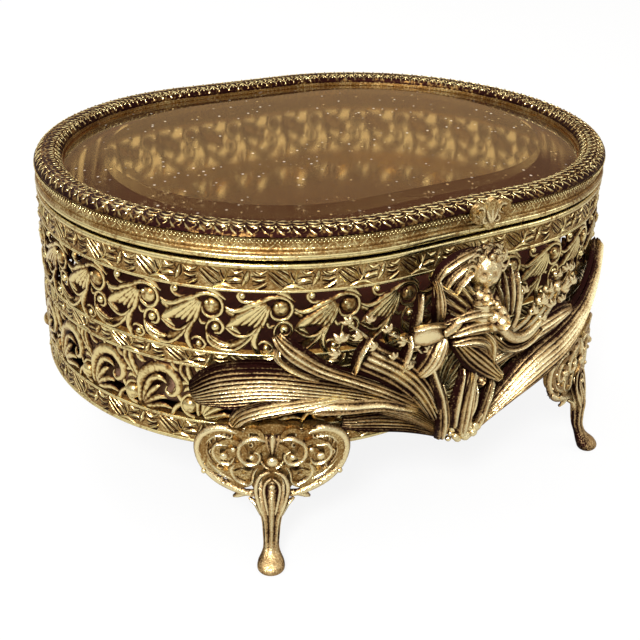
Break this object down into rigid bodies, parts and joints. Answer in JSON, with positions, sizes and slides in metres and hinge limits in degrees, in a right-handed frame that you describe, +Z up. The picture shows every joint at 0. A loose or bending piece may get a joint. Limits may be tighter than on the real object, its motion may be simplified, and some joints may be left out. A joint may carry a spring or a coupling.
{
  "type": "glass casket box",
  "caption": "Oval gilt keepsake casket with a hinged bevelled glass lid, openwork scroll walls, cabriole legs and a cast leaf and cherub spray.",
  "frame": {"origin": "centre of the footprint, on the surface that the four feet stand on", "axes": "+X to the right along the length, +Y to the back where the lid hinges, +Z up"},
  "size_m": [0.2004, 0.1734, 0.1063],
  "materials": {
    "base_plate": "dull gilt, browned",
    "base_band": "gilt, satin, worn to brown in the recesses",
    "lower_gallery": "gilt, satin, worn to brown in the recesses",
    "middle_band": "gilt, satin, worn to brown in the recesses",
    "upper_gallery": "gilt, satin, worn to brown in the recesses",
    "rim_band": "gilt, satin, worn to brown in the recesses",
    "rim_collar": "dull gilt, browned",
    "leg_front_left": "gilt, burnished on the high parts",
    "leg_front_right": "gilt, burnished on the high parts",
    "leg_back_left": "gilt, burnished on the high parts",
    "leg_back_right": "gilt, burnished on the high parts",
    "leg_screws": "dull gilt, browned",
    "leg_nuts": "dull gilt, browned",
    "pad_board": "plain card",
    "velvet_pad": "velvet",
    "front_ornament": "gilt, burnished on the high parts",
    "ornament_screws": "dull gilt, browned",
    "hinge_leaf_body": "gilt, burnished on the high parts",
    "hinge_pin": "dull gilt, browned",
    "hinge_rivets_body": "dull gilt, browned",
    "lid_frame": "gilt, satin, worn to brown in the recesses",
    "lid_crown": "gilt, satin, worn to brown in the recesses",
    "lid_bead_row": "gilt, burnished on the high parts",
    "glass_panel": "clear bevelled glass with an amber tint",
    "glass_retainer": "dull gilt, browned",
    "retainer_tabs": "dull gilt, browned",
    "thumb_lift": "gilt, burnished on the high parts",
    "hinge_leaf_lid": "gilt, burnished on the high parts",
    "hinge_rivets_lid": "dull gilt, browned"
  },
  "bodies": {
    "box": {"base_plate": "base_plate", "base_band": "base_band", "lower_gallery": "lower_gallery", "middle_band": "middle_band", "upper_gallery": "upper_gallery", "rim_band": "rim_band", "rim_collar": "rim_collar", "leg_front_left": "leg_front_left", "leg_front_right": "leg_front_right", "leg_back_left": "leg_back_left", "leg_back_right": "leg_back_right", "leg_screws": "leg_screws", "leg_nuts": "leg_nuts", "pad_board": "pad_board", "velvet_pad": "velvet_pad", "front_ornament": "front_ornament", "ornament_screws": "ornament_screws", "hinge_leaf_body": "hinge_leaf_body", "hinge_pin": "hinge_pin", "hinge_rivets_body": "hinge_rivets_body"},
    "lid": {"lid_frame": "lid_frame", "lid_crown": "lid_crown", "lid_bead_row": "lid_bead_row", "glass_panel": "glass_panel", "glass_retainer": "glass_retainer", "retainer_tabs": "retainer_tabs", "thumb_lift": "thumb_lift", "hinge_leaf_lid": "hinge_leaf_lid", "hinge_rivets_lid": "hinge_rivets_lid"}
  },
  "joints": [
    {"name": "lid_hinge", "type": "hinge", "parent": "box", "child": "lid", "pos_m": [0, 0.08505, 0.0953], "axis": [-1, 0, 0], "range_deg": [0, 100]}
  ]
}
